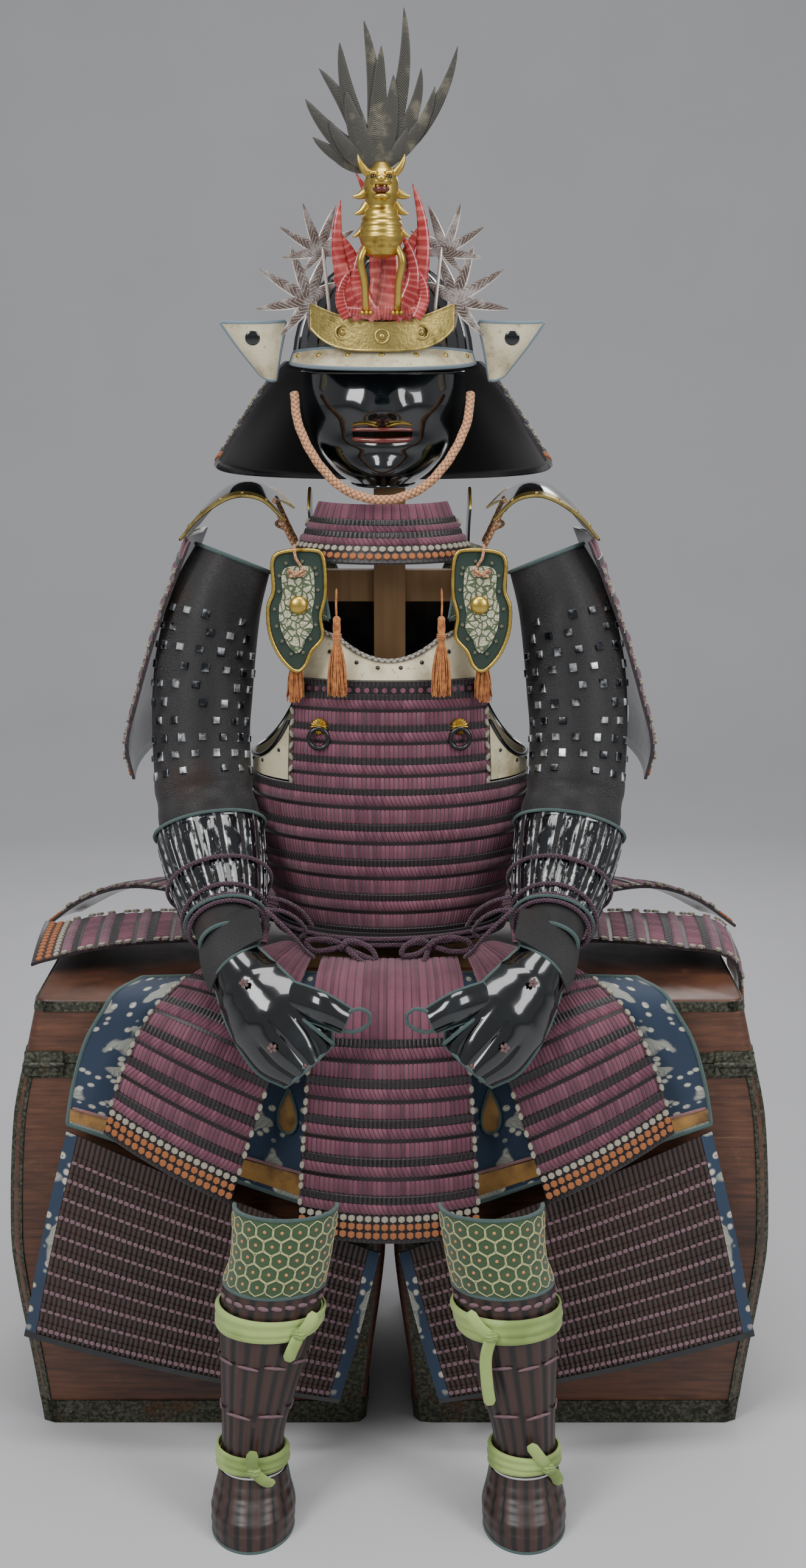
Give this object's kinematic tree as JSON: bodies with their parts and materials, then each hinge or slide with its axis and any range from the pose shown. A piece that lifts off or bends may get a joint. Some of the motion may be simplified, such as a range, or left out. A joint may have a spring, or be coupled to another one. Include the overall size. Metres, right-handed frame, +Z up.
{
  "type": "samurai armour on a pair of armour chests",
  "caption": "Full samurai armour with laced plates, masked helmet, sleeves, tassets and leg guards, set out as if seated on a pair of lidded wooden armour chests.",
  "frame": {"origin": "on the floor, under the middle of the whole", "axes": "+Z up; the armour faces -Y; +X is the viewer's right"},
  "size_m": [0.954, 0.695, 1.742],
  "materials": {
    "lacquer_black": "gloss lacquer over iron",
    "lacquer_brown": "gloss brown-black lacquer over iron",
    "lacing_plum": "matte silk braid in plum, with black, ivory and orange rows, over lacquered scales",
    "lacing_dark": "black-brown lacquered scales laced with small plum knots",
    "leather_ivory": "aged ivory leather",
    "brass": "dulled brass",
    "gilt": "gilded copper",
    "lacquer_red": "red lacquer on carved wood",
    "plume_dark": "dark lacquered hide",
    "leaf_metal": "thin patinated metal",
    "cord_peach": "thick braided silk cord",
    "silk_orange": "orange silk",
    "mail_dark": "lacquered mail and small plates on indigo cloth",
    "splint_steel": "lacquered iron splints joined by mail",
    "cloth_indigo": "indigo cotton with small white blossoms",
    "cloth_green": "quilted green silk with hexagons",
    "cloth_tie": "light green cotton",
    "chest_wood": "lacquered wood, worn, with iron fittings",
    "chest_iron": "blackened iron straps and corners",
    "stand_wood": "plain planed wood"
  },
  "bodies": {
    "root": {"chest_right": "chest_wood", "chest_left": "chest_wood", "chest_lid_right": "chest_wood", "chest_lid_left": "chest_wood", "armour_stand": "stand_wood", "cuirass_front": "lacing_plum", "cuirass_back": "lacing_plum", "tasset_front": "lacing_plum", "tasset_front_side_right": "lacing_plum", "tasset_front_side_left": "lacing_plum", "tasset_side_right": "lacing_plum", "tasset_side_left": "lacing_plum", "tasset_rear_right": "lacing_plum", "tasset_rear_left": "lacing_plum", "shoulder_guard_right": "lacing_plum", "shoulder_guard_left": "lacing_plum", "throat_guard": "lacing_plum", "haidate_scales_right": "lacing_dark", "haidate_scales_left": "lacing_dark", "neck_guard": "lacing_dark", "waist_cord": "lacing_dark", "chest_top_plate": "leather_ivory", "side_plate_right": "leather_ivory", "side_plate_left": "leather_ivory", "leaf_plate_right": "leather_ivory", "leaf_plate_left": "leather_ivory", "helmet_visor": "leather_ivory", "turn_back_right": "leather_ivory", "turn_back_left": "leather_ivory", "shoulder_strap_right": "cloth_green", "shoulder_strap_left": "cloth_green", "knee_guard_right": "cloth_green", "knee_guard_left": "cloth_green", "tassel_right": "silk_orange", "tassel_left": "silk_orange", "haidate_cloth_right": "cloth_indigo", "haidate_cloth_left": "cloth_indigo", "sleeve_right": "mail_dark", "sleeve_left": "mail_dark", "forearm_splints_right": "splint_steel", "forearm_splints_left": "splint_steel", "hand_guard_right": "lacquer_black", "hand_guard_left": "lacquer_black", "shoulder_guard_top_right": "lacquer_black", "shoulder_guard_top_left": "lacquer_black", "helmet_bowl": "lacquer_black", "face_mask": "lacquer_black", "mask_cord": "cord_peach", "crest_holder": "brass", "crest_flames": "lacquer_red", "crest_beast": "gilt", "crest_plume": "plume_dark", "maple_leaves_right": "leaf_metal", "maple_leaves_left": "leaf_metal", "shin_guard_right": "lacquer_brown", "shin_guard_left": "lacquer_brown", "foot_guard_right": "lacquer_brown", "foot_guard_left": "lacquer_brown", "leg_tie_right": "cloth_tie", "leg_tie_left": "cloth_tie"}
  },
  "joints": []
}
